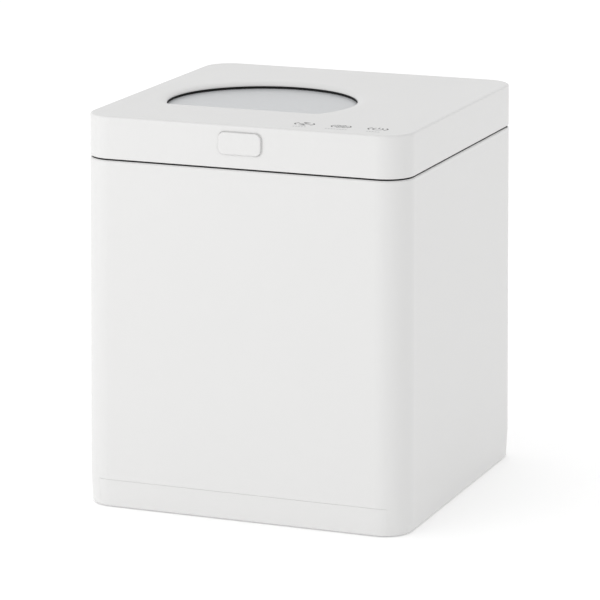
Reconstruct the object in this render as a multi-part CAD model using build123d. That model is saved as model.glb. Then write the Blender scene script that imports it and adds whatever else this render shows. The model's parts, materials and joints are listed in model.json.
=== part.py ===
from build123d import *
import math
import os

# Countertop trash compactor.  Millimetres, +Z up, +X to the right, the front faces -Y.
# The origin is the middle of the footprint, on the plane that the rubber feet stand on.
# A two-stage screw jack under the floor of the chamber lifts a press plate inside the
# removable bucket and squeezes its contents against the closed lid.

# ---------------------------------------------------------------- driving dimensions
LID_W, LID_D, HEIGHT = 280.1, 283.4, 329.4   # lid at its lower edge, and overall height
LID_TAPER = 0.5                              # how much narrower the lid is at its top
BODY_W, BODY_D = 280.2, 283.4                # body at its upper edge
BASE_W, BASE_D = 284.2, 287.4                # body at the base joint
CORNER = 24.0                                # plan corner radius of the casing
WALL = 2.6                                   # casing wall
Z_FOOT, Z_JOINT, Z_BODY, Z_LID = 0.8, 24.0, 292.4, 294.2
BAND_DRAFT = 1.8                             # how much narrower the body is at its lower edge
KICK_X = 127.0                               # half width of the loose panel at the foot of the front
FLANGE = 2.5                                 # inward flange at the top of the body
MOUTH_W, MOUTH_D, MOUTH_R = 236.0, 239.0, 18.0

# window: a circle cut by a straight chord parallel to the front
WIN_X, WIN_Y, WIN_R, WIN_CHORD, WIN_CORNER = -30.0, -19.0, 79.5, -64.0, 6.0
LIP_W, LIP_H = 8.5, 2.6                      # elliptical roll of the lid down to the window
Z_RING = HEIGHT - 3.2                        # underside of that roll, where the gasket starts
Z_GLASS = HEIGHT - 5.4                       # top face of the window glass
GLASS_T, PANE_T = 3.0, 4.0

# push button in the front of the lid
BTN_X, BTN_Z, BTN_W, BTN_H, BTN_R = 0.0, 314.5, 39.3, 19.4, 6.2
BTN_FACE, BTN_GAP = -143.2, 0.4

# hinge and latch
HINGE_Y, HINGE_Z, PIN_R, KNUCKLE_R = 137.3, 300.3, 2.0, 4.0
HINGE_IN, HINGE_OUT = 75.0, 95.0             # bracket, from the middle plane
HOOK_Y, HOOK_Z = -131.0, 302.0
SLOT_X, SLOT_Y0, SLOT_Y1 = 9.0, -138.2, -125.5

# chassis and base bay
CHASSIS_Z, CHASSIS_T = 26.0, 3.0
POST_X, POST_Y = 122.0, 124.0                # the four long case screws
MOTOR_X, MOTOR_Y = 85.0, 80.0
PULLEY_Z0, PULLEY_Z1 = 7.0, 17.0
BIG_R, SMALL_R = 45.0, 12.0                  # belt radii of the two pulleys

# chamber, bucket and press
LINER_W, LINER_D, LINER_R, LINER_T = 240.0, 243.0, 20.0, 2.2
Z_FLOOR = 100.0                              # underside of the chamber floor
BUCKET_W, BUCKET_D, BUCKET_R, BUCKET_T = 228.0, 231.0, 16.0, 2.0
BUCKET_Z0, BUCKET_Z1 = 103.0, 268.0
PLATE_W, PLATE_D, PLATE_R = 219.0, 222.0, 12.0
PLATE_Z0, PLATE_Z1 = 105.4, 110.4
HANDLE_X, HANDLE_Z, HANDLE_DROP = 107.0, 262.0, 26.0

# fan and inlet, both in the back of the body
FAN_Z, FAN_HALF = 210.0, 30.0
INLET_X, INLET_Z = -90.0, 55.0

LOW = (Align.CENTER, Align.CENTER, Align.MIN)
CORNERS = [(sx, sy) for sx in (-1, 1) for sy in (-1, 1)]


# ---------------------------------------------------------------- helpers
def save(node, *solids):
    """Write one node; several solids stay separate in one file."""
    shape = solids[0] if len(solids) == 1 else Compound(children=list(solids))
    export_step(shape, f"parts/{node}.step")


def block(x0, x1, y0, y1, z0, z1):
    centre = Pos((x0 + x1) / 2, (y0 + y1) / 2, (z0 + z1) / 2)
    return centre * Box(x1 - x0, y1 - y0, z1 - z0)


def rod_z(x, y, z0, z1, r):
    return Pos(x, y, z0) * Cylinder(r, z1 - z0, align=LOW)


def rod_y(x, z, y0, y1, r):
    return Pos(x, y0, z) * Rot(-90, 0, 0) * Cylinder(r, y1 - y0, align=LOW)


def rod_x(y, z, x0, x1, r):
    return Pos(x0, y, z) * Rot(0, 90, 0) * Cylinder(r, x1 - x0, align=LOW)


def tube(x, y, z0, z1, r_out, r_in):
    return rod_z(x, y, z0, z1, r_out) - rod_z(x, y, z0 - 1, z1 + 1, r_in)


def slab(w, d, r, z0, z1):
    """Rounded rectangle, extruded upward."""
    return extrude(Pos(0, 0, z0) * RectangleRounded(w, d, r), z1 - z0)


def frustum(w0, d0, z0, w1, d1, z1, r):
    """Drafted rounded rectangle."""
    return loft([Pos(0, 0, z0) * RectangleRounded(w0, d0, r),
                 Pos(0, 0, z1) * RectangleRounded(w1, d1, r)], ruled=True)


def window_face(offset):
    """The window's outline in plan, grown by offset."""
    half = Pos(WIN_X, WIN_CHORD - offset + 150) * Rectangle(400, 300)
    face = (Pos(WIN_X, WIN_Y) * Circle(WIN_R + offset)) & half
    return fillet(face.vertices().sort_by(Axis.Y)[:2], WIN_CORNER + offset)


def window(offset, z0, z1):
    return extrude(Pos(0, 0, z0) * window_face(offset), z1 - z0)


def upright(w, h, r, x, z, y0, y1):
    """Rounded rectangle standing in the XZ plane, extruded from y0 to y1."""
    face = Plane(origin=(x, y1, z), x_dir=(1, 0, 0), z_dir=(0, -1, 0)) * RectangleRounded(w, h, r)
    return extrude(face, y1 - y0)


def profile_yz(points, x0, x1):
    face = make_face(Polyline(*[(x0, y, z) for y, z in points], close=True))
    return extrude(face, x1 - x0, dir=(1, 0, 0))


def screw(x, y, z0, z1, r, head_r, head_t, up=True):
    """Socket screw along Z; its head is at z0 when it points up, else at z1."""
    socket = RegularPolygon(head_r * 0.55, 6)
    if up:
        solid = rod_z(x, y, z0, z0 + head_t, head_r) + rod_z(x, y, z0 + head_t, z1, r)
        return solid - extrude(Pos(x, y, z0 - 1) * socket, 1 + head_t * 0.6)
    solid = rod_z(x, y, z1 - head_t, z1, head_r) + rod_z(x, y, z0, z1 - head_t, r)
    return solid - extrude(Pos(x, y, z1 - head_t * 0.6) * socket, 1 + head_t)


def body_half(z):
    """Half width and half depth of the body's outside at height z."""
    t = (z - Z_JOINT) / (Z_BODY - Z_JOINT)
    return (BASE_W + t * (BODY_W - BASE_W)) / 2, (BASE_D + t * (BODY_D - BASE_D)) / 2


os.makedirs("parts", exist_ok=True)

# ---------------------------------------------------------------- body shell
band = frustum(BASE_W - BAND_DRAFT, BASE_D - BAND_DRAFT, Z_FOOT, BASE_W, BASE_D, Z_JOINT, CORNER)
band = fillet(band.edges().group_by(Axis.Z)[0], 1.2)
band_w, band_d = BASE_W - BAND_DRAFT - 2 * WALL, BASE_D - BAND_DRAFT - 2 * WALL
band -= slab(band_w, band_d, CORNER - WALL, Z_FOOT - 1, Z_JOINT + 1)
shell = frustum(BASE_W, BASE_D, Z_JOINT, BODY_W, BODY_D, Z_BODY, CORNER)
shell = fillet(shell.edges().group_by(Axis.Z)[-1], 1.0)
shell -= frustum(BASE_W - 2 * WALL, BASE_D - 2 * WALL, Z_JOINT,
                 BODY_W - 2 * WALL, BODY_D - 2 * WALL, Z_BODY - FLANGE, CORNER - WALL)
shell += band - block(-KICK_X, KICK_X, -150, -137, 0, Z_JOINT)
shell -= slab(MOUTH_W, MOUTH_D, MOUTH_R, Z_BODY - 5, Z_BODY + 1)
shell -= block(-SLOT_X, SLOT_X, SLOT_Y0, SLOT_Y1, Z_BODY - 5, Z_BODY + 1)
for sx, sy in CORNERS:                       # screw columns, webbed into the corners
    angle = math.degrees(math.atan2(sy, sx))
    column = rod_z(sx * POST_X, sy * POST_Y, CHASSIS_Z + CHASSIS_T, 60, 6)
    web = Pos(sx * POST_X, sy * POST_Y, CHASSIS_Z + CHASSIS_T) * Rot(0, 0, angle) * Box(
        16.4, 4, 31, align=(Align.MIN, Align.CENTER, Align.MIN))
    shell += column + web
    shell -= rod_z(sx * POST_X, sy * POST_Y, 20, 56, 2.1)
wall_y = body_half(FAN_Z)[1] - WALL
for sx, sy in CORNERS:                       # fan bosses
    shell += rod_y(sx * 25, FAN_Z + sy * 25, 137.5, wall_y + 1, 3.5)
for k in range(9):                           # rear louvres
    z = FAN_Z + (k - 4) * 5.5
    half = 27 if abs(k - 4) < 3 else 20
    shell -= block(-half, half, 137.6 if half < 21 else 138, 145, z - 1.5, z + 1.5)
for sx in (-1, 1):                           # bores for the hinge screws
    for dx in (79, 91):
        shell -= rod_z(sx * dx, 129.5, Z_BODY - 4, Z_BODY + 1, 1.3)
    shell -= rod_z(sx * 14.5, -131, Z_BODY - 4, Z_BODY + 1, 1.3)
shell -= upright(27.6, 20.6, 3, INLET_X, INLET_Z, 130, 150)
save("body_shell", shell)

# ---------------------------------------------------------------- base
kick = band & block(0.05 - KICK_X, KICK_X - 0.05, -150, -137, 0, Z_JOINT - 0.15)
tray_w, tray_d, tray_r = band_w - 0.6, band_d - 0.6, CORNER - WALL - 0.3
for sx in (-1, 1):                           # pads that seat the panel on the tray
    for a, b in ((30, 50), (90, 110)):
        x0, x1 = sorted((sx * a, sx * b))
        kick += block(x0, x1, -tray_d / 2 - 0.6, -tray_d / 2, 6, 18)
save("front_kick", kick)

tray = slab(tray_w, tray_d, tray_r, Z_FOOT, CHASSIS_Z)
tray -= slab(tray_w - 4, tray_d - 4, tray_r - 2, Z_FOOT + 2.5, CHASSIS_Z + 1)
foot_at = [(sx * 104, sy * 106) for sx, sy in CORNERS]
for sx, sy in CORNERS:
    tray += rod_z(sx * POST_X, sy * POST_Y, Z_FOOT + 1, CHASSIS_Z, 6.5)
    tray -= rod_z(sx * POST_X, sy * POST_Y, 0, CHASSIS_Z + 1, 2.3)
    tray -= rod_z(sx * POST_X, sy * POST_Y, 0, 6.2, 4.4)
for x, y in foot_at:
    tray -= rod_z(x, y, 0, 5, 4)
for k in range(-4, 5):                       # air slots in the base
    tray -= block(k * 7 - 1.5, k * 7 + 1.5, -112, -72, 0, 5)
save("base_tray", tray)

feet = [fillet(rod_z(x, y, 0, Z_FOOT, 11).edges().group_by(Axis.Z)[0], 0.3)
        + rod_z(x, y, Z_FOOT - 0.5, Z_FOOT + 2.5, 4) for x, y in foot_at]
save("rubber_feet", *feet)

save("case_screws", *[screw(sx * POST_X, sy * POST_Y, 3.2, 54, 2.0, 4.0, 3.0) for sx, sy in CORNERS])

chassis = slab(BASE_W - 10.2, BASE_D - 10.2, CORNER - 5.2, CHASSIS_Z, CHASSIS_Z + CHASSIS_T)
for sx, sy in CORNERS:
    chassis -= rod_z(sx * POST_X, sy * POST_Y, 20, 40, 2.2)
chassis -= rod_z(0, 0, 20, 40, 13.05)
chassis -= rod_z(MOTOR_X, MOTOR_Y, 20, 40, 7)
jack_bolts = [(48 * math.cos(a), 48 * math.sin(a)) for a in (math.pi / 4 + k * math.pi / 2 for k in range(4))]
motor_bolts = [(MOTOR_X + 17 * math.cos(a), MOTOR_Y + 17 * math.sin(a))
               for a in (math.pi / 4 + k * math.pi / 2 for k in range(4))]
for x, y in jack_bolts + motor_bolts:
    chassis -= rod_z(x, y, 20, 40, 2.05)
for x, y in [(-100, -90), (-60, -112), (60, -112), (100, -90), (100, 0), (-100, 0)]:
    chassis -= rod_z(x, y, 20, 40, 11)       # lightening holes
save("chassis_plate", chassis)

# ---------------------------------------------------------------- chamber liner
liner = slab(LINER_W, LINER_D, LINER_R, Z_FLOOR, Z_BODY - FLANGE)
liner += slab(264, 267, CORNER, Z_BODY - FLANGE - 2.2, Z_BODY - FLANGE)
liner -= slab(LINER_W - 2 * LINER_T, LINER_D - 2 * LINER_T, LINER_R - LINER_T, Z_FLOOR + 2.5, Z_BODY)
liner -= rod_z(0, 0, 90, 110, 50)
liner -= block(-21, 21, -140, -LINER_D / 2 - 0.01, 280, Z_BODY)
liner -= block(21, 47, -140, -LINER_D / 2 - 0.01, 280, Z_BODY)
for k in range(-6, 7):                       # air slots above the bucket's rim
    liner -= block(k * 7 - 1.5, k * 7 + 1.5, LINER_D / 2 - 6, LINER_D / 2 + 2, 272, 281)
save("chamber_liner", liner)

# ---------------------------------------------------------------- bucket
bucket = slab(BUCKET_W, BUCKET_D, BUCKET_R, BUCKET_Z0, BUCKET_Z1)
bucket += slab(BUCKET_W + 5, BUCKET_D + 5, BUCKET_R + 2.5, BUCKET_Z1 - 3, BUCKET_Z1)
bucket -= slab(BUCKET_W - 2 * BUCKET_T, BUCKET_D - 2 * BUCKET_T, BUCKET_R - BUCKET_T,
               BUCKET_Z0 + 2, BUCKET_Z1 + 1)
bucket = fillet(bucket.edges().group_by(Axis.Z)[-1], 0.6)
bucket -= rod_z(0, 0, BUCKET_Z0 - 1, BUCKET_Z0 + 5, 48)
inner_x = BUCKET_W / 2 - BUCKET_T
for sx, sy in CORNERS:                       # ears that carry the folding handles
    x0, x1 = sorted((sx * 103.5, sx * (inner_x + 0.5)))
    y0, y1 = sorted((sy * 44.5, sy * 48.5))
    ear = block(x0, x1, y0, y1, HANDLE_Z - 5, HANDLE_Z + 3.4)
    ear -= rod_y(sx * HANDLE_X, HANDLE_Z, y0 - 1, y1 + 1, 2.08)
    bucket += ear
save("bucket", bucket)

for side, sx in (("left", -1), ("right", 1)):
    x, zb = sx * HANDLE_X, HANDLE_Z - HANDLE_DROP
    route = FilletPolyline((x, -50, HANDLE_Z), (x, -39, HANDLE_Z), (x, -39, zb), (x, 39, zb),
                           (x, 39, HANDLE_Z), (x, 50, HANDLE_Z), radius=4)
    wire = sweep(Plane(origin=(x, -50, HANDLE_Z), z_dir=(0, 1, 0)) * Circle(2), path=route)
    save(f"handle_{side}", wire)
    grip = fillet(rod_y(x, zb, -28, 28, 3.6).edges(), 0.8) - rod_y(x, zb, -30, 30, 2.0)
    save(f"grip_{side}", grip)

# ---------------------------------------------------------------- screw jack
JACK_Z0, JACK_Z1 = CHASSIS_Z + CHASSIS_T, 99.0
housing = tube(0, 0, JACK_Z0, JACK_Z1, 42, 39) + rod_z(0, 0, JACK_Z0, JACK_Z0 + 4, 54)
housing += block(37.4, 40, -2, 2, JACK_Z0 + 3, JACK_Z1)
housing -= rod_z(0, 0, JACK_Z0 - 1, JACK_Z0 + 3, 13.05)
housing -= rod_z(0, 0, JACK_Z0, JACK_Z0 + 5, 10)
for x, y in jack_bolts:
    housing -= rod_z(x, y, JACK_Z0 - 1, JACK_Z0 + 5, 2.05)
save("jack_housing", housing)
save("chassis_bolts", *[screw(x, y, CHASSIS_Z - 2, JACK_Z0 + 7, 2.0, 3.6, 2.0)
                        for x, y in jack_bolts + motor_bolts])
save("screw_bearing", tube(0, 0, CHASSIS_Z, JACK_Z0 + 3, 13, 5.05))

lower = rod_z(0, 0, 6.2, JACK_Z0 + 3.2, 5) + rod_z(0, 0, JACK_Z0 + 3.2, Z_FLOOR, 8)
lower = chamfer(lower.edges().group_by(Axis.Z)[-1], 1)
save("lower_screw", lower)
pulley = tube(0, 0, PULLEY_Z0, PULLEY_Z1, BIG_R, 5) + tube(0, 0, PULLEY_Z1 - 0.5, 24, 12, 5)
for z in (PULLEY_Z0, PULLEY_Z1 - 0.8):
    pulley += tube(0, 0, z, z + 0.8, BIG_R + 3, BIG_R - 6)
for k in range(6):
    a = k * math.pi / 3
    pulley -= rod_z(28 * math.cos(a), 28 * math.sin(a), 0, 30, 9)
save("large_pulley", pulley)

mid = tube(0, 0, 34, 98, 38, 34) + tube(0, 0, 34, 40, 36, 15)
mid -= block(36, 39, -2.5, 2.5, 30, 100)     # keyway for the housing's rib
mid += block(-35, -32.4, -2, 2, 39, 98)      # rib for the ram tube
save("mid_tube", mid)
save("lower_nut", tube(0, 0, 34, 40, 15, 8.05))
save("mid_screw", chamfer(tube(0, 0, 40.4, 99.6, 15, 8.3).edges().group_by(Axis.Z)[-1], 0.8))

ram = tube(0, 0, 41, 102, 33, 29)
ram -= block(-34, -31, -2.5, 2.5, 40, 103)
save("ram_tube", ram)
save("ram_nut", tube(0, 0, 42, 49, 29, 15.05))
head = rod_z(0, 0, 102, PLATE_Z0, 46)
plate_bolts = [(38 * math.cos(a), 38 * math.sin(a)) for a in (math.pi / 4 + k * math.pi / 2 for k in range(4))]
for x, y in plate_bolts:
    head -= rod_z(x, y, 100, 110, 2.0)
save("ram_head", head)

plate = slab(PLATE_W, PLATE_D, PLATE_R, PLATE_Z0, PLATE_Z1)
plate = fillet(plate.edges().group_by(Axis.Z)[-1], 1.0)
for x, y in plate_bolts:
    plate -= rod_z(x, y, 100, 120, 2.05) + rod_z(x, y, PLATE_Z1 - 2.2, 120, 4.1)
for i in range(-3, 4):                       # drain dimples, clear of the bolts
    for j in range(-3, 4):
        if max(abs(i), abs(j)) > 1:
            plate -= rod_z(i * 30, j * 30, PLATE_Z1 - 1, 120, 4)
save("press_plate", plate)
save("plate_wiper", slab(PLATE_W + 3.6, PLATE_D + 3.6, PLATE_R + 1.8, PLATE_Z0 + 1, PLATE_Z0 + 3.6)
     - slab(PLATE_W, PLATE_D, PLATE_R, PLATE_Z0, PLATE_Z1))
save("plate_screws", *[screw(x, y, 102.6, PLATE_Z1 - 0.4, 2.0, 4.0, 1.7, up=False) for x, y in plate_bolts])

# ---------------------------------------------------------------- drive
gearbox = fillet(rod_z(MOTOR_X, MOTOR_Y, JACK_Z0, JACK_Z0 + 22, 23).edges().group_by(Axis.Z)[-1], 2)
for x, y in motor_bolts:
    gearbox -= rod_z(x, y, JACK_Z0 - 1, JACK_Z0 + 8, 2.0)
gearbox -= rod_z(MOTOR_X, MOTOR_Y, JACK_Z0 - 1, JACK_Z0 + 12, 4.05)
save("gearbox", gearbox)
motor = rod_z(MOTOR_X, MOTOR_Y, JACK_Z0 + 22, 90, 19) + rod_z(MOTOR_X, MOTOR_Y, 90, 94, 6)
motor = fillet(motor.edges().filter_by(GeomType.CIRCLE).filter_by(
    lambda e: abs(e.center().Z - 90) < 0.1 and e.radius > 15), 2)
save("drive_motor", motor)
small = rod_z(MOTOR_X, MOTOR_Y, 6.2, JACK_Z0 + 11, 4) + rod_z(MOTOR_X, MOTOR_Y, PULLEY_Z0, PULLEY_Z1, SMALL_R)
for z in (PULLEY_Z0, PULLEY_Z1 - 0.8):
    small += rod_z(MOTOR_X, MOTOR_Y, z, z + 0.8, SMALL_R + 3)
save("motor_pulley", small)


def belt_loop(grow):
    edges = Circle(BIG_R + grow).edges() + (Pos(MOTOR_X, MOTOR_Y) * Circle(SMALL_R + grow)).edges()
    return extrude(Pos(0, 0, PULLEY_Z0 + 1.1) * make_hull(edges), PULLEY_Z1 - PULLEY_Z0 - 2.2)


save("drive_belt", belt_loop(1.9) - belt_loop(0.3))

# ---------------------------------------------------------------- electrics
save("power_board", block(-128, -60, 42, 112, 36, 37.6))
save("board_pillars", *[rod_z(x, y, JACK_Z0, 36, 3) for x in (-124, -64) for y in (46, 108)])
components = [fillet(block(-122, -98, 70, 96, 37.6, 55).edges().filter_by(Axis.Z), 1.5),
              block(-92, -74, 84, 99, 37.6, 50), block(-92, -74, 64, 79, 37.6, 50)]
components += [fillet(rod_z(x, 53, 37.6, 53, 5).edges().group_by(Axis.Z)[-1], 0.6) for x in (-118, -105, -92)]
components += [block(-82, -64, 48, 58, 37.6, 46)]
save("board_components", *components)

socket = upright(27, 20, 2.8, INLET_X, INLET_Z, 118, 142.9)
socket += upright(34, 27, 3, INLET_X, INLET_Z, 137.8, body_half(INLET_Z)[1] - WALL - 0.4)
socket -= upright(24.4, 16.6, 2.5, INLET_X, INLET_Z, 125, 150)
save("inlet_socket", socket)
save("inlet_pins", *[block(INLET_X + dx - 1, INLET_X + dx + 1, 121, 138, INLET_Z + dz - 2, INLET_Z + dz + 2)
                     for dx, dz in ((-7, -1.5), (0, 2.0), (7, -1.5))])
save("limit_switches", block(-26, -6, 43, 49, 33.2, 43), block(-26, -6, 43, 49, 84, 94))
save("lid_switch", fillet(block(24, 44, -133, -127, 279.4, 289.8).edges().filter_by(Axis.Y), 0.8))

wires = [FilletPolyline((x, 118, 50), (x, 106, 50), (x, 106, 37.6), radius=5) for x in (-94, -86)]
wires += [FilletPolyline((-67 + d, 104 + d, 37.6), (-67 + d, 104 + d, 60 - d), (MOTOR_X + d, 112 + d, 60 - d),
                         (MOTOR_X + d, 112 + d, 76), (MOTOR_X + d, 99.2, 76), radius=7) for d in (0, 3.2)]
leads = []
for wire in wires:
    leads.append(sweep(Plane(origin=wire @ 0, z_dir=wire % 0) * Circle(1.2), path=wire))
save("wiring", *leads)

fan = upright(60, 60, 4, 0, FAN_Z, 127.5, 137.5) - rod_y(0, FAN_Z, 120, 140, 28)
struts = []
for k in range(4):                           # struts that hold the fan's motor
    bar = Pos(0, 137.05, FAN_Z) * Rot(0, 45 + 90 * k, 0) * Box(
        29, 0.9, 3, align=(Align.MIN, Align.CENTER, Align.CENTER))
    struts.append(bar)
fan += struts
fan += rod_y(0, FAN_Z, 136.6, 137.5, 12)
for sx, sy in CORNERS:
    fan -= rod_y(sx * 25, FAN_Z + sy * 25, 120, 140, 1.7)
save("fan_frame", fan)
rotor = rod_y(0, FAN_Z, 129, 136.2, 11)
for k in range(7):
    blade = Pos(0, 132.6, FAN_Z) * Rot(0, k * 360 / 7, 0) * Pos(10, 0, 0) * Rot(38, 0, 0) * Box(
        16.6, 1.2, 8.4, align=(Align.MIN, Align.CENTER, Align.CENTER))
    rotor += blade
save("fan_rotor", rotor)
save("fan_screws", *[rod_y(sx * 25, FAN_Z + sy * 25, 125.9, 127.5, 2.7)
                     + rod_y(sx * 25, FAN_Z + sy * 25, 127.5, 137.4, 1.6) for sx, sy in CORNERS])
save("carbon_filter", upright(42, 58, 3, 0, FAN_Z, 122.0, 126.6))

# ---------------------------------------------------------------- hinge and strike on the body
brackets, pins, hinge_screws = [], [], []
for sx in (-1, 1):
    x0, x1 = sorted((sx * HINGE_IN, sx * HINGE_OUT))
    b = block(x0, x1, 126.8, 140.9, Z_BODY, Z_BODY + 1.5)
    b += block(x0, x1, HINGE_Y - KNUCKLE_R, HINGE_Y + KNUCKLE_R - 0.4, Z_BODY, HINGE_Z)
    b += rod_x(HINGE_Y, HINGE_Z, x0, x1, KNUCKLE_R)
    b -= rod_x(HINGE_Y, HINGE_Z, x0 - 1, x1 + 1, PIN_R)
    for dx in (79, 91):
        b -= rod_z(sx * dx, 129.5, Z_BODY - 1, Z_BODY + 2, 1.4) + rod_z(sx * dx, 129.5, Z_BODY + 0.6, Z_BODY + 3, 2.5)
        hinge_screws.append(screw(sx * dx, 129.5, Z_BODY - 2.4, Z_BODY + 1.4, 1.25, 2.4, 0.75, up=False))
    brackets.append(b)
    pins.append(rod_x(HINGE_Y, HINGE_Z, *sorted((sx * 66.5, sx * 103.5)), PIN_R))
save("hinge_brackets", *brackets)
save("hinge_pins", *pins)
save("hinge_screws", *hinge_screws)

Z_STRIKE = Z_BODY - FLANGE
strike = block(-20, 20, -137.5, -121.8, Z_STRIKE - 1.5, Z_STRIKE)
strike -= block(-SLOT_X, SLOT_X, -140, SLOT_Y1, Z_STRIKE - 2, Z_STRIKE + 1)
for sx in (-1, 1):
    strike -= rod_z(sx * 14.5, -131, Z_STRIKE - 3, Z_STRIKE + 1, 1.4)
save("latch_strike", strike)
save("strike_screws", *[screw(sx * 14.5, -131, Z_STRIKE - 3, Z_STRIKE + 2, 1.25, 2.5, 1.5) for sx in (-1, 1)])

# ---------------------------------------------------------------- lid
cover = frustum(LID_W, LID_D, Z_LID, LID_W - LID_TAPER, LID_D - LID_TAPER, HEIGHT, CORNER)
cover = fillet(cover.edges().group_by(Axis.Z)[-1], 1.8)
cover = fillet(cover.edges().group_by(Axis.Z)[0], 0.8)
cover -= slab(LID_W - 5.6, LID_D - 5.6, CORNER - 2.8, Z_LID - 1, HEIGHT - 3)
cover += window(5.5, Z_GLASS - 3, HEIGHT - 2) - window(3.5, 300, Z_RING)
cover -= window(0, 300, HEIGHT + 1)
outline = (Pos(0, 0, HEIGHT) * window_face(0)).wire()
across = Plane(origin=outline @ 0, x_dir=(outline % 0).cross(Vector(0, 0, 1)), z_dir=outline % 0)
roll = Pos(LIP_W / 2 - 0.1, (LIP_H - 1) / 2) * Rectangle(LIP_W + 0.2, LIP_H + 1)
roll -= Pos(LIP_W, LIP_H) * Ellipse(LIP_W, LIP_H)
cover -= sweep(across * roll, path=outline)
opening_w, opening_h = BTN_W + 2 * BTN_GAP, BTN_H + 2 * BTN_GAP
cover -= upright(opening_w, opening_h, BTN_R + BTN_GAP, BTN_X, BTN_Z, -150, -135)
for sx, sy in CORNERS:                       # screw posts
    cover += rod_z(sx * 124, sy * 125, Z_LID + 2.5, HEIGHT - 2, 4)
    cover -= rod_z(sx * 124, sy * 125, Z_LID, Z_LID + 18, 1.5)
for sx in (-1, 1):
    for a, b in ((66, 74), (96, 104)):       # hinge knuckles
        x0, x1 = sorted((sx * a, sx * b))
        cover += rod_x(HINGE_Y, HINGE_Z, x0, x1, KNUCKLE_R)
        cover += block(x0, x1, HINGE_Y - KNUCKLE_R, HINGE_Y + 2, HINGE_Z, HINGE_Z + 7)
    x0, x1 = sorted((sx * 74, sx * 96))
    cover -= block(x0, x1, 130, 145, Z_LID - 1, Z_LID + 12.3)
    cover -= rod_x(HINGE_Y, HINGE_Z, *sorted((sx * 65, sx * 105)), PIN_R + 0.06)
for x in (63, 95):                           # pillars for the touch board
    cover += rod_z(x, -112, 323.1, HEIGHT - 2, 2.5)
save("lid_cover", cover)

inner = slab(LID_W - 6.1, LID_D - 6.1, CORNER - 3.05, Z_LID, Z_LID + 2.5)
inner += window(3.2, Z_LID, Z_GLASS - GLASS_T)
inner -= window(0, Z_LID + 2.5, 330) + window(-4, Z_LID - 1, 330)
inner -= block(-6.5, 6.5, SLOT_Y0 - 2, -123.5, Z_LID - 1, Z_LID + 4)
for sx in (-1, 1):
    x0, x1 = sorted((sx * 65, sx * 105))
    inner -= block(x0, x1, 132.4, 145, Z_LID - 1, Z_LID + 4)
    x0, x1 = sorted((sx * 7, sx * 9.5))      # cheeks that hold the hook's pin
    cheek = block(x0, x1, HOOK_Y - 2.6, HOOK_Y + 4.5, Z_LID + 1, HOOK_Z + 4.5)
    inner += cheek - rod_x(HOOK_Y, HOOK_Z, x0 - 1, x1 + 1, 1.5)
    x0, x1 = sorted((sx * 10.8, sx * 17.6))  # spring seats
    inner += block(x0, x1, -129, -126.4, Z_LID + 1, 319)
for sx, sy in CORNERS:
    inner -= rod_z(sx * 124, sy * 125, Z_LID - 1, Z_LID + 4, 1.6)
    inner -= rod_z(sx * 124, sy * 125, Z_LID - 1, Z_LID + 1.2, 3.0)
save("lid_inner", inner)
save("lid_screws", *[screw(sx * 124, sy * 125, Z_LID + 0.1, Z_LID + 14, 1.45, 2.8, 1.1) for sx, sy in CORNERS])

save("window_gasket", window(3.4, Z_GLASS, Z_RING) - window(0.15, 300, HEIGHT))
save("window_glass", window(3.4, Z_GLASS - GLASS_T, Z_GLASS))
save("inner_pane", window(-0.2, Z_LID + 2.5, Z_LID + 2.5 + PANE_T))
save("lid_seal", slab(246, 249, 22, Z_BODY + 0.2, Z_LID) - slab(241, 244, 19.5, Z_BODY, Z_LID + 1))

save("touch_board", fillet(block(34, 118, -131, -108, 321.5, 323.1).edges().filter_by(Axis.Z), 1.5))
save("touch_pads", *[rod_z(x, -115.2, 323.1, HEIGHT - 3.05, 6) for x in (45.4, 76.7, 108.0)])

button = upright(BTN_W - 2.8, BTN_H - 1.2, BTN_R - 1, BTN_X, BTN_Z, BTN_FACE, -138.4)
button = fillet(button.faces().sort_by(Axis.Y)[0].edges(), 0.9)
button += upright(BTN_W, BTN_H, BTN_R, BTN_X, BTN_Z, -140.9, -138.4)
button += upright(BTN_W + 3.6, BTN_H + 2.8, BTN_R + 1.3, BTN_X, BTN_Z, -138.6, -137.1)
button -= block(-6.2, 6.2, -137.9, -137, 302, 307)      # relief for the hook's eye
button += block(-4, 4, -137.2, HOOK_Y - 2.6, 313.5, 316.5)
save("latch_button", button)
save("button_springs", *[rod_y(x, 312, -137.1, -129, 3) - rod_y(x, 312, -138, -128, 2.2) for x in (-14.2, 14.2)])

hook_line = [(HOOK_Y - 2, 285.5), (HOOK_Y + 7.4, 285.5), (HOOK_Y + 8, 286.2), (HOOK_Y + 8, 288.2),
             (HOOK_Y + 2, 288.2), (HOOK_Y + 2, 300), (HOOK_Y + 1.4, 318), (HOOK_Y - 2, 318)]
hook = profile_yz(hook_line, -5, 5) + rod_x(HOOK_Y, HOOK_Z, -5, 5, 3.2)
hook -= rod_x(HOOK_Y, HOOK_Z, -6, 6, 1.55)
save("latch_hook", hook)
save("latch_pin", rod_x(HOOK_Y, HOOK_Z, -11, 11, 1.5))
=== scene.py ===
import json
import math

import bmesh
import bpy
from mathutils import Matrix, Vector


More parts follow.
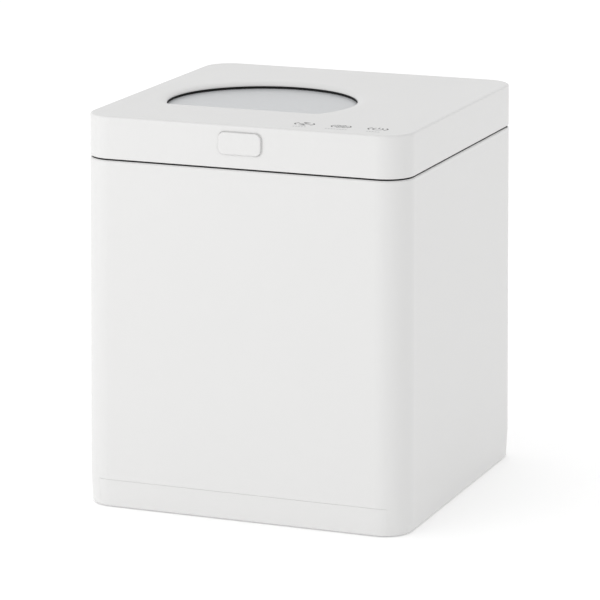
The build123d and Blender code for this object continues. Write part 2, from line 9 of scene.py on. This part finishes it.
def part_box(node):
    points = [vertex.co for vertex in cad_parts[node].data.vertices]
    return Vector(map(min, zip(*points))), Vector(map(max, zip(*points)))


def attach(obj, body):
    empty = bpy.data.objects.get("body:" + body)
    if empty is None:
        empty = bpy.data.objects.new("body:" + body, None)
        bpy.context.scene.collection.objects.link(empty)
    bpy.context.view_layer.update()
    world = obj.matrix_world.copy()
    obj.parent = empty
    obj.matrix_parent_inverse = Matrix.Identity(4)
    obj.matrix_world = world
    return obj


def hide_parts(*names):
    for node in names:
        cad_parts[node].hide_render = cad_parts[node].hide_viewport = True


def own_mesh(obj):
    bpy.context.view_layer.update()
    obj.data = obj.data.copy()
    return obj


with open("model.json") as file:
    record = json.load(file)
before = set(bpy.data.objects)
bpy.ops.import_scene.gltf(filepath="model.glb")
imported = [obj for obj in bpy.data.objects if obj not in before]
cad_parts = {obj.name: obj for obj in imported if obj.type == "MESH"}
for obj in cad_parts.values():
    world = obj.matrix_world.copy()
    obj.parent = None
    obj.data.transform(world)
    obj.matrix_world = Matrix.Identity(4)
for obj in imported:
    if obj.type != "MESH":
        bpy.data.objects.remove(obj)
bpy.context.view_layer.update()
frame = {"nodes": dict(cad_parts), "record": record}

NODES = frame["nodes"]
MM = 0.001


# ------------------------------------------------------------------ materials
REFRACTION = 1.5                              # of plastic, rubber and glass alike
FINE_SHARE = 0.5                              # weight of the fine grain beside the slow drift, in the gloss
GRAIN_STRENGTH = 0.6


def shader(name):
    """A new material with its node tree and its main shader."""
    material = bpy.data.materials.new(name)
    material.use_nodes = True
    tree = material.node_tree
    return material, tree, tree.nodes["Principled BSDF"]


def node(tree, kind, **settings):
    """A new node. A setting goes to the input socket of that name, or else to the node's own property."""
    new = tree.nodes.new(kind)
    for key, value in settings.items():
        if key in new.inputs.keys():
            new.inputs[key].default_value = value
        else:
            setattr(new, key, value)
    return new


def object_coordinates(tree):
    return node(tree, "ShaderNodeTexCoord").outputs["Object"]


def noise(tree, place, scale, detail=3.0):
    texture = node(tree, "ShaderNodeTexNoise", Scale=scale, Detail=detail, Roughness=0.55)
    tree.links.new(place, texture.inputs["Vector"])
    return texture.outputs["Fac"]


def spread(tree, value, low, high, start=0.3, end=0.7):
    """Maps a value that runs from start to end onto low to high."""
    ramp = node(tree, "ShaderNodeMapRange")
    ramp.inputs["From Min"].default_value = start
    ramp.inputs["From Max"].default_value = end
    ramp.inputs["To Min"].default_value = low
    ramp.inputs["To Max"].default_value = high
    tree.links.new(value, ramp.inputs["Value"])
    return ramp.outputs["Result"]


def tint(tree, value, dark, light):
    """A colour between dark and light, as the value says."""
    mix = node(tree, "ShaderNodeMix", data_type="RGBA")
    factor, first, second, result = mix.inputs[0], mix.inputs[6], mix.inputs[7], mix.outputs[2]
    first.default_value = (*dark, 1)
    second.default_value = (*light, 1)
    tree.links.new(value, factor)
    return result


def bump(tree, bsdf, height, strength, distance):
    relief = node(tree, "ShaderNodeBump", Strength=strength, Distance=distance)
    tree.links.new(height, relief.inputs["Height"])
    tree.links.new(relief.outputs["Normal"], bsdf.inputs["Normal"])


def surface(name, colour, rough, vary=0.02, grain=1500, grain_depth=4e-6, patch=14, stretch=None,
            metallic=0.0, coat=0.0, coat_rough=0.1, rough_vary=0.04, sheen=0.0, specular=0.5):
    """A procedural finish: slow drift in colour and gloss, fine grain in the bump."""
    material, tree, bsdf = shader(name)
    place = object_coordinates(tree)
    grain_place = place
    if stretch:
        mapping = node(tree, "ShaderNodeMapping")
        mapping.inputs["Scale"].default_value = stretch
        tree.links.new(place, mapping.inputs["Vector"])
        grain_place = mapping.outputs["Vector"]
    slow = noise(tree, place, patch, 4)
    fine = noise(tree, grain_place, grain, 2)
    dark = [max(0.0, c * (1 - vary)) for c in colour]
    light = [min(1.0, c * (1 + vary)) for c in colour]
    tree.links.new(tint(tree, slow, dark, light), bsdf.inputs["Base Color"])
    both = node(tree, "ShaderNodeMath", operation="MULTIPLY_ADD")
    tree.links.new(fine, both.inputs[0])
    both.inputs[1].default_value = FINE_SHARE
    tree.links.new(slow, both.inputs[2])
    gloss = spread(tree, both.outputs[0], max(0.02, rough - rough_vary), rough + rough_vary, 0.4, 1.1)
    tree.links.new(gloss, bsdf.inputs["Roughness"])
    bump(tree, bsdf, fine, GRAIN_STRENGTH, grain_depth)
    bsdf.inputs["Specular IOR Level"].default_value = specular
    bsdf.inputs["Metallic"].default_value = metallic
    bsdf.inputs["IOR"].default_value = REFRACTION
    bsdf.inputs["Coat Weight"].default_value = coat
    bsdf.inputs["Coat Roughness"].default_value = coat_rough
    bsdf.inputs["Sheen Weight"].default_value = sheen
    return material


def glass(name, colour, rough, transmission):
    """Frosted glass with a slight unevenness."""
    material, tree, bsdf = shader(name)
    place = object_coordinates(tree)
    slow = noise(tree, place, 12)
    tree.links.new(tint(tree, slow, [c * 0.985 for c in colour], colour), bsdf.inputs["Base Color"])
    tree.links.new(spread(tree, noise(tree, place, 55), rough, rough + 0.02), bsdf.inputs["Roughness"])
    bump(tree, bsdf, slow, 0.2, 2e-6)
    bsdf.inputs["Transmission Weight"].default_value = transmission
    bsdf.inputs["IOR"].default_value = REFRACTION
    return material


def printed(name, dark, light):
    """A thin layer of ink."""
    material, tree, bsdf = shader(name)
    place = object_coordinates(tree)
    tree.links.new(tint(tree, noise(tree, place, 900, 2), dark, light), bsdf.inputs["Base Color"])
    tree.links.new(spread(tree, noise(tree, place, 400), 0.42, 0.55), bsdf.inputs["Roughness"])
    bump(tree, bsdf, noise(tree, place, 2500), 0.3, 2e-6)
    return material


WHITE = (0.704, 0.702, 0.697)
MATS = {
    "casing_plastic": surface("casing_plastic", WHITE, 0.34, vary=0.006, grain=2200,
                              grain_depth=3e-6, coat=0.12, coat_rough=0.16),
    "button_plastic": surface("button_plastic", WHITE, 0.30, vary=0.006, grain=2400,
                              grain_depth=2e-6, coat=0.15, coat_rough=0.12),
    "inner_plastic": surface("inner_plastic", (0.60, 0.61, 0.61), 0.48, vary=0.03, grain=1300,
                             grain_depth=9e-6),
    "window_glass": glass("window_glass", (0.625, 0.638, 0.652), 0.30, 0.12),
    "frosted_glass": glass("frosted_glass", (0.70, 0.73, 0.77), 0.42, 0.45),
    "black_rubber": surface("black_rubber", (0.010, 0.010, 0.010), 0.62, vary=0.2, grain=900,
                            grain_depth=1.4e-5, specular=0.15),
    "steel": surface("steel", (0.56, 0.56, 0.57), 0.28, vary=0.05, grain=700, grain_depth=5e-6,
                     stretch=(1, 1, 18), metallic=1.0, rough_vary=0.08),
    "zinc_screw": surface("zinc_screw", (0.66, 0.66, 0.62), 0.34, vary=0.08, grain=1200, metallic=1.0),
    "aluminium": surface("aluminium", (0.74, 0.745, 0.76), 0.38, vary=0.03, grain=1900, grain_depth=8e-6,
                         metallic=1.0, rough_vary=0.07),
    "bronze": surface("bronze", (0.68, 0.44, 0.20), 0.30, vary=0.1, grain=900, stretch=(1, 1, 14),
                      metallic=1.0),
    "black_plastic": surface("black_plastic", (0.022, 0.022, 0.023), 0.45, vary=0.15, grain=1500,
                             grain_depth=1e-5),
    "circuit_board": surface("circuit_board", (0.015, 0.13, 0.055), 0.3, vary=0.25, grain=500, patch=160,
                             coat=0.5),
    "motor_paint": surface("motor_paint", (0.035, 0.036, 0.04), 0.36, vary=0.1, grain=800, coat=0.3),
    "filter_foam": surface("filter_foam", (0.02, 0.02, 0.02), 0.9, vary=0.4, grain=600, grain_depth=2e-4,
                           sheen=0.2),
}

slots = {part["node"]: part["material_slot"] for part in frame["record"]["subparts"]}
for name, cad_object in NODES.items():
    cad_object.data.materials.clear()
    cad_object.data.materials.append(MATS[slots[name]])


# ------------------------------------------------------------------ mesh helpers
def piece(name, verts, faces, body, slot, material=None, smooth=False):
    """A visible piece that rides on a body, in its slot's material unless another is given."""
    mesh = bpy.data.meshes.new(name)
    mesh.from_pydata([tuple(v) for v in verts], [], faces)
    mesh.validate()
    editor = bmesh.new()
    editor.from_mesh(mesh)
    bmesh.ops.recalc_face_normals(editor, faces=editor.faces)
    editor.to_mesh(mesh)
    editor.free()
    for polygon in mesh.polygons:
        polygon.use_smooth = smooth
    made = bpy.data.objects.new(name, mesh)
    bpy.context.collection.objects.link(made)
    mesh.materials.append(material or MATS[slot])
    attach(made, body)
    return made


def looped(rings, size, closed):
    """Quads between rings of a given number of points each. A closed one joins its last ring to its first."""
    count = rings if closed else rings - 1
    return [(i * size + k, i * size + (k + 1) % size,
             (i + 1) % rings * size + (k + 1) % size, (i + 1) % rings * size + k)
            for i in range(count) for k in range(size)]


def caps(rings, size):
    """The two end faces of an open row of rings."""
    return [tuple(range(size - 1, -1, -1)), tuple(range((rings - 1) * size, rings * size))]


class Build:
    """Collects many small solids into one mesh."""

    def __init__(self):
        self.verts, self.faces = [], []

    def add(self, verts, faces):
        base = len(self.verts)
        self.verts += [Vector(v) for v in verts]
        self.faces += [tuple(i + base for i in face) for face in faces]

    def prism(self, outline, z0, z1):
        """Closed prism over a flat outline [(x, y)]."""
        size = len(outline)
        verts = [Vector((x, y, z)) for z in (z0, z1) for x, y in outline]
        self.add(verts, caps(2, size) + looped(2, size, False))

    def strip(self, pairs, z0, z1):
        """Closed strip between an outer and an inner line, given in mm."""
        verts = [Vector((p.x, p.y, z)) * MM for outer, inner in pairs for p, z in
                 ((outer, z1), (outer, z0), (inner, z0), (inner, z1))]
        self.add(verts, looped(len(pairs), 4, False) + caps(len(pairs), 4))

    def tube(self, points, radius, sides):
        """Round tube along points, closed at both ends."""
        verts, up = [], None
        for i, point in enumerate(points):
            before, after = points[max(i - 1, 0)], points[min(i + 1, len(points) - 1)]
            along = (after - before).normalized()
            if up is None:
                up = along.orthogonal().normalized()
            up = (up - along * up.dot(along)).normalized()
            side = along.cross(up)
            for t in (2 * math.pi * k / sides for k in range(sides)):
                verts.append(point + radius * (math.cos(t) * up + math.sin(t) * side))
        self.add(verts, looped(len(points), sides, False) + caps(len(points), sides))


def arc(cx, cy, r, start, end, steps):
    """Points on a circle, with the angles in degrees."""
    angles = [math.radians(start + (end - start) * i / steps) for i in range(steps + 1)]
    return [(cx + r * math.cos(a), cy + r * math.sin(a)) for a in angles]


QUARTERS = ((1, 1, 0), (-1, 1, 90), (-1, -1, 180), (1, -1, 270))      # side in x and y, starting angle


def rounded(w, h, r, steps=8):
    """Rectangle with rounded corners, round the origin."""
    points = []
    for sx, sy, angle in QUARTERS:
        points += arc(sx * (w / 2 - r), sy * (h / 2 - r), r, angle, angle + 90, steps)
    return points


def rectangle(w, h, y=0.0):
    return [(-w / 2, y - h / 2), (w / 2, y - h / 2), (w / 2, y + h / 2), (-w / 2, y + h / 2)]


def stroke(points, width):
    """Outline of a line of given width, with square ends."""
    left, right = [], []
    for i, point in enumerate(points):
        before, after = Vector(points[max(i - 1, 0)]), Vector(points[min(i + 1, len(points) - 1)])
        along = (after - before).normalized()
        side = Vector((-along.y, along.x)) * width / 2
        left.append(tuple(Vector(point) + side))
        right.append(tuple(Vector(point) - side))
    return left + right[::-1]


# ------------------------------------------------------------------ camera, floor, light
AIM = Vector((-0.0036, -0.0004, 0.1553))      # metres, where the camera looks
AZIMUTH, ELEVATION = math.radians(21.404), math.radians(13.184)
DISTANCE, LENS, SENSOR = 3.0266, 214.65, 36.0
back = Vector((math.sin(AZIMUTH) * math.cos(ELEVATION), -math.cos(AZIMUTH) * math.cos(ELEVATION),
               math.sin(ELEVATION)))
camera_data = bpy.data.cameras.new("camera")
camera_data.sensor_width, camera_data.lens = SENSOR, LENS
camera_data.clip_start, camera_data.clip_end = 0.05, 100
camera = bpy.data.objects.new("camera", camera_data)
bpy.context.collection.objects.link(camera)
camera.location = AIM + DISTANCE * back
camera.rotation_euler = (-back).to_track_quat("-Z", "Y").to_euler()
bpy.context.scene.camera = camera

FLOOR = 30.0                                  # metres, so its edge is never in view
FLOOR_GLOW = 0.17                             # lifts the floor to the white of the surroundings
floor_mesh = bpy.data.meshes.new("floor")
floor_mesh.from_pydata([(-FLOOR, -FLOOR, 0), (FLOOR, -FLOOR, 0), (FLOOR, FLOOR, 0), (-FLOOR, FLOOR, 0)],
                       [], [(0, 1, 2, 3)])
floor = bpy.data.objects.new("floor", floor_mesh)
bpy.context.collection.objects.link(floor)
floor_finish = surface("floor", (0.97, 0.97, 0.97), 0.8, vary=0.002, grain=40, grain_depth=1e-5)
floor_shader = floor_finish.node_tree.nodes["Principled BSDF"]
floor_shader.inputs["Emission Color"].default_value = (1, 1, 1, 1)
floor_shader.inputs["Emission Strength"].default_value = FLOOR_GLOW
floor_mesh.materials.append(floor_finish)


LIGHTS_AIM = Vector((0, 0, 0.17))             # metres, about the middle of the object


def area_light(name, place, width, height, watts):
    """A rectangular lamp that looks at the object."""
    lamp = bpy.data.lights.new(name, "AREA")
    lamp.shape = "RECTANGLE"
    lamp.size, lamp.size_y, lamp.energy = width, height, watts
    holder = bpy.data.objects.new(name, lamp)
    holder.location = place
    holder.rotation_euler = (Vector(place) - LIGHTS_AIM).to_track_quat("Z", "Y").to_euler()
    bpy.context.collection.objects.link(holder)


area_light("key", (-1.5, -2.2, 0.6), width=1.4, height=1.4, watts=10.2)
area_light("left_strip", (-1.6, -0.8, 0.5), width=0.3, height=1.6, watts=2)

LEVEL, OVERHEAD, RIGHT = 0.98, 0.94, 0.83     # how bright the soft white surroundings are
world = bpy.data.worlds.new("world")
world.use_nodes = True
sky = world.node_tree
axes = node(sky, "ShaderNodeSeparateXYZ")
sky.links.new(node(sky, "ShaderNodeTexCoord").outputs["Generated"], axes.inputs[0])
product = node(sky, "ShaderNodeMath", operation="MULTIPLY")
sky.links.new(spread(sky, axes.outputs["Z"], LEVEL, OVERHEAD, 0.0, 1.0), product.inputs[0])
sky.links.new(spread(sky, axes.outputs["X"], 1.0, RIGHT, 0.0, 1.0), product.inputs[1])
sky.links.new(product.outputs[0], sky.nodes["Background"].inputs["Strength"])
sky.nodes["Background"].inputs["Color"].default_value = (1, 1, 1, 1)
bpy.context.scene.world = world
bpy.context.scene.view_settings.view_transform = "Standard"

# ------------------------------------------------------------------ printed marks on the lid
KEYS, KEY_Y = (45.4, 76.7, 108.0), -115.2     # mm, the middles of the three keys
MARK_SUNK, MARK_PROUD = 0.02, 0.04            # mm, how far a mark goes into the lid and stands on it
LABELS, LABEL_DROP = (12.0, 20.0, 11.5), 12.2     # mm, lengths of the labels, and how far below a pictogram
DASH_PITCH = 2.4
lid_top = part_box("lid_cover")[1][2]


def mark(build, outline, x, y):
    """A flat mark on the lid, from an outline in mm round its own middle."""
    build.prism([((x + px) * MM, (y + py) * MM) for px, py in outline],
                lid_top - MARK_SUNK * MM, lid_top + MARK_PROUD * MM)


def brackets():
    """A pair of brackets to go round a pictogram."""
    return [stroke([(side * 6.2, 4.2), (side * 8.4, 0), (side * 6.2, -4.2)], 1.3) for side in (-1, 1)]


def squeeze():
    """Two arrows that point at a bar."""
    arrows = [[(-3.2, side * 6.2), (3.2, side * 6.2), (0, side * 1.9)] for side in (-1, 1)]
    return arrows + [rectangle(10, 1.4)]


def air():
    """Three waves."""
    return [stroke([(-5.1 + 0.6 * i, row + 1.1 * math.sin(i * 0.74)) for i in range(18)], 1.1)
            for row in (-3.6, 0, 3.6)]


def power():
    """A broken ring and a bar."""
    return [stroke(arc(0, 0, 4.2, 125, 415, 24), 1.0), rectangle(1.0, 4.6, y=3.1)]


icons = Build()
for key_x, pictogram in zip(KEYS, (squeeze, air, power)):
    for outline in brackets() + pictogram():
        mark(icons, outline, key_x, KEY_Y)
ink = printed("printed_ink", (0.055, 0.055, 0.058), (0.075, 0.075, 0.078))
piece("key_pictograms", icons.verts, icons.faces, "lid", "black_rubber", ink)

labels = Build()
for key_x, length in zip(KEYS, LABELS):       # a row of short dashes under each pictogram
    count = round(length / DASH_PITCH)
    for i in range(count):
        mark(labels, rectangle(1.7, 1.1), key_x + (i - (count - 1) / 2) * DASH_PITCH, KEY_Y - LABEL_DROP)
grey = printed("printed_grey", (0.30, 0.30, 0.305), (0.34, 0.34, 0.345))
piece("key_labels", labels.verts, labels.faces, "lid", "black_rubber", grey)

# ------------------------------------------------------------------ seam under the lid
CORNER = 24.0                                 # mm, plan corner radius of the casing
STRIP = 1.5                                   # mm, how wide the painted shade strip and the rim are
SHADE_STRIP_INSET, SHADE_STRIP_GAP = 1.2, 0.7               # mm, the painted shade strip sits in from the lid's edge, and up from the casing
HINGE_Y, HINGE_X = 125, (63, 107)             # mm, the painted shade strip is left open round the hinges
RIM_INSET, RIM_STAND, RIM_SUNK = 0.7, 0.42, 0.02
RIM_END = 118.0                               # mm, the rim stops short of the back

lid_lo, lid_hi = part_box("lid_cover")
body_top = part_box("body_shell")[1][2]
half_w, half_d = lid_hi[0] / MM, -lid_lo[1] / MM


def lid_line(corner_steps=18, spacing=1.0):
    """Line round the lid as pairs of corner centre and outward normal, starting at the middle of the back."""
    corners = []
    for sx, sy, angle in QUARTERS:
        centre = Vector((sx * (half_w - CORNER), sy * (half_d - CORNER)))
        corners += [(centre, Vector(normal)) for normal in arc(0, 0, 1, angle, angle + 90, corner_steps)]
    line = []
    for (c0, n0), (c1, n1) in zip(corners, corners[1:] + corners[:1]):
        steps = max(1, round((c1 - c0).length / spacing))
        line += [(c0.lerp(c1, i / steps), n0.lerp(n1, i / steps).normalized()) for i in range(steps)]
    start = next(i for i, (c, n) in enumerate(line) if abs(c.x) < spacing and c.y > 0)
    return line[start:] + line[:start + 1]


def strip_pairs(inset):
    """Outer and inner points of a strip that runs round the lid, in from its edge."""
    return [(c + n * (CORNER - inset), c + n * (CORNER - inset - STRIP)) for c, n in lid_line()]


runs = [[]]
for outer, inner in strip_pairs(SHADE_STRIP_INSET):
    if outer.y > HINGE_Y and HINGE_X[0] < abs(outer.x) < HINGE_X[1]:
        runs.append([])
    else:
        runs[-1].append((outer, inner))
seam_shade = Build()                                # black strip that paints the shade in the seam's gap
for run in runs:
    if len(run) > 1:
        seam_shade.strip(run, body_top / MM + SHADE_STRIP_GAP, lid_lo[2] / MM)
# painted shade: the seam's dark line is this black strip in the gap under the lid
piece("seam_painted_shade", seam_shade.verts, seam_shade.faces, "lid", "black_rubber")

# The casing's rim stands up a little at the front and sides, so the seam shows thinner than its gap.
rim = Build()
rim.strip([pair for pair in strip_pairs(RIM_INSET) if pair[0].y < RIM_END],
          body_top / MM - RIM_SUNK, body_top / MM + RIM_STAND)
piece("seam_lip", rim.verts, rim.faces, "casing", "casing_plastic")


# ------------------------------------------------------------------ turned and threaded pieces
def tooth(phase):
    """Depth, 0 at a crest and 1 at a root, of a trapezoid thread."""
    t = phase % 1.0
    return min(1.0, max(0.0, min((t - 0.30) / 0.16, (0.96 - t) / 0.16)))


def turned(build, rings, pitch=1.0, starts=0, sides=64, bore=False, place=None):
    """Surface of revolution through (z, radius, thread depth) in mm. With a bore it is closed on itself."""
    verts = []
    for z, radius, depth in rings:
        for k in range(sides):
            angle = 2 * math.pi * k / sides
            r = radius - depth * tooth(z / pitch - starts * k / sides)
            verts.append(Vector((r * math.cos(angle), r * math.sin(angle), z)) * MM)
    if place is not None:
        verts = [place @ v for v in verts]
    build.add(verts, looped(len(rings), sides, bore) + ([] if bore else caps(len(rings), sides)))


def rows(z0, z1, radius, depth, plain=2.0, step=0.35):
    """Threaded rings from z0 to z1, plain at both ends."""
    count = round((z1 - z0) / step)
    heights = [z0 + (z1 - z0) * i / count for i in range(count + 1)]
    return [(z, radius, depth * min(1.0, max(0.0, min(z - z0 - plain, z1 - plain - z)))) for z in heights]


def soften(made, degrees=35):
    """Smooth shading that keeps edges sharper than this."""
    for polygon in made.data.polygons:
        polygon.use_smooth = True
    made.data.set_sharp_from_angle(angle=math.radians(degrees))


LEAD, STARTS = 10.0, 3                        # mm a turn, shared by the two screws of the jack

LOWER_R, LOWER_DEPTH = 8.0, 0.75
spindle = Build()
turned(spindle, [(6.2, 4.4, 0), (6.8, 5.0, 0), (32.2, 5.0, 0), (32.2, LOWER_R, 0)]
       + rows(32.3, 98.9, LOWER_R, LOWER_DEPTH) + [(99.9, 7.0, 0)], LEAD / STARTS, STARTS)
lower_thread = piece("lower_screw_thread", spindle.verts, spindle.faces, "spindle", "steel")
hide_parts("lower_screw")
soften(lower_thread)

MID_R, MID_DEPTH, MID_BORE = 15.0, 0.85, 8.3
sleeve = Build()
turned(sleeve, [(40.4, MID_BORE, 0), (40.4, MID_R, 0)] + rows(40.5, 98.7, MID_R, MID_DEPTH)
       + [(99.6, 14.2, 0), (99.6, 9.1, 0), (98.8, MID_BORE, 0)], LEAD / STARTS, STARTS, bore=True)
mid_thread = piece("mid_screw_thread", sleeve.verts, sleeve.faces, "upper_screw", "steel")
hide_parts("mid_screw")
soften(mid_thread)

# ------------------------------------------------------------------ ribbed handle grips
WIRE_R, GRIP_END_R, RIB_R, GROOVE_R = 2.02, 2.9, 3.55, 3.05      # mm
RIBS, PLAIN_END = 13, 3.0
for side in ("left", "right"):
    lo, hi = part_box(f"grip_{side}")
    middle = [(a + b) / 2 for a, b in zip(lo, hi)]
    half = (hi[1] - lo[1]) / MM / 2
    rings = [(-half, WIRE_R, 0), (-half, GRIP_END_R, 0), (-half + 0.7, RIB_R, 0)]
    for i in range(RIBS):
        z = -half + PLAIN_END + i * 2 * (half - PLAIN_END) / (RIBS - 1)
        rings += [(z - 1.3, RIB_R, 0), (z - 0.9, GROOVE_R, 0), (z + 0.9, GROOVE_R, 0), (z + 1.3, RIB_R, 0)]
    rings += [(half - 0.7, RIB_R, 0), (half, GRIP_END_R, 0), (half, WIRE_R, 0)]
    grip = Build()
    turned(grip, rings, sides=28, bore=True,
           place=Matrix.Translation(middle) @ Matrix.Rotation(-math.pi / 2, 4, "X"))
    ribbed = piece(f"grip_{side}_ribbed", grip.verts, grip.faces, f"{side}_handle", "black_rubber")
    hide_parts(f"grip_{side}")
    soften(ribbed, 60)

# ------------------------------------------------------------------ thin bezel round the button's opening
BEZEL_Z, BEZEL_W, BEZEL_H, BEZEL_R = 314.5, 39.44, 19.54, 6.27
LINING = 0.34                                 # mm, what it takes off the gap on every side
LIP_DX, LIP_DZ = 0.58, 0.18                   # mm, the lip reaches in further at the left and below
front = lid_lo[1] / MM
inside = rounded(BEZEL_W, BEZEL_H, BEZEL_R)
outside = rounded(BEZEL_W + 2 * LINING, BEZEL_H + 2 * LINING, BEZEL_R + LINING)
lip = [(x + LIP_DX, z + LIP_DZ) for x, z in
       rounded(BEZEL_W - 2 * LIP_DX, BEZEL_H - 2 * LIP_DZ, BEZEL_R - LIP_DX)]
sections = ((outside, 0.15), (outside, 2.4), (inside, 2.4), (inside, 0.72), (lip, 0.68), (lip, 0.3))
bezel_verts = [Vector((x, front + depth, BEZEL_Z + z)) * MM for ring, depth in sections for x, z in ring]
bezel = piece("button_bezel", bezel_verts, looped(len(sections), len(inside), True), "lid", "casing_plastic")
soften(bezel, 50)

# ------------------------------------------------------------------ coil springs behind the button
TURNS, WIRE, COIL_R, SEAT = 5.0, 0.36, 2.6, 0.08      # the seat keeps the first turn off the button
COIL_POINTS = 160
lo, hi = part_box("button_springs")
coils = Build()
for sx in (-1, 1):
    y0, y1 = lo[1] / MM + WIRE + SEAT, hi[1] / MM - WIRE
    mid_x, mid_z = sx * (hi[0] / MM - 3.0), (lo[2] + hi[2]) / 2 / MM
    points = []
    for i in range(COIL_POINTS + 1):
        turn = (TURNS + 2) * i / COIL_POINTS
        rise = min(1.0, max(0.0, (turn - 1) / TURNS))         # one flat turn at each end
        angle = 2 * math.pi * turn
        points.append(Vector((mid_x + COIL_R * math.cos(angle), y0 + (y1 - y0) * rise,
                              mid_z + COIL_R * math.sin(angle))) * MM)
    coils.tube(points, WIRE * MM, sides=8)
springs = piece("spring_coils", coils.verts, coils.faces, "lid", "steel", smooth=True)
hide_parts("button_springs")
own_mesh(springs)

# ------------------------------------------------------------------ toothed drive belt
BIG_R, SMALL_R, MOTOR = 45.0, 12.0, Vector((85.0, 80.0))
BACK, TIP, LAND = 1.9, 0.3, 0.95              # belt offsets from the pulleys, in mm
TOOTH_PITCH, PER_TOOTH = 3.0, 4               # mm, and sections to a tooth
reach = MOTOR.length
lean = math.degrees(math.acos((BIG_R - SMALL_R) / reach))
heading = math.degrees(math.atan2(MOTOR.y, MOTOR.x))


def wrap(centre, radius, start, end, steps):
    """Points where the belt lies on a pulley, each with its outward normal."""
    return [(centre + radius * Vector(n), Vector(n)) for n in arc(0, 0, 1, start, end, steps)]


path = wrap(Vector((0, 0)), BIG_R, heading + lean, heading + 360 - lean, 300)
path += wrap(MOTOR, SMALL_R, heading - lean, heading + lean, 60)
travelled = [0.0]
for (here, _), (there, _) in zip(path, path[1:] + path[:1]):
    travelled.append(travelled[-1] + (there - here).length)
samples = round(travelled[-1] / TOOTH_PITCH) * PER_TOOTH
z_low, z_high = [corner[2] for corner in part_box("drive_belt")]
belt_verts, stretch = [], 0
for i in range(samples):
    along = travelled[-1] * i / samples
    while travelled[stretch + 1] < along:
        stretch += 1
    (p0, n0), (p1, n1) = path[stretch], path[(stretch + 1) % len(path)]
    share = (along - travelled[stretch]) / max(travelled[stretch + 1] - travelled[stretch], 1e-9)
    base, normal = p0.lerp(p1, share), n0.lerp(n1, share).normalized()
    inner = TIP if i % PER_TOOTH in (0, 1) else LAND
    for offset, z in ((BACK, z_high), (BACK, z_low), (inner, z_low), (inner, z_high)):
        at = (base + normal * offset) * MM
        belt_verts.append((at.x, at.y, z))
belt = piece("drive_belt_toothed", belt_verts, looped(samples, 4, True), "casing", "black_rubber")
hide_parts("drive_belt")
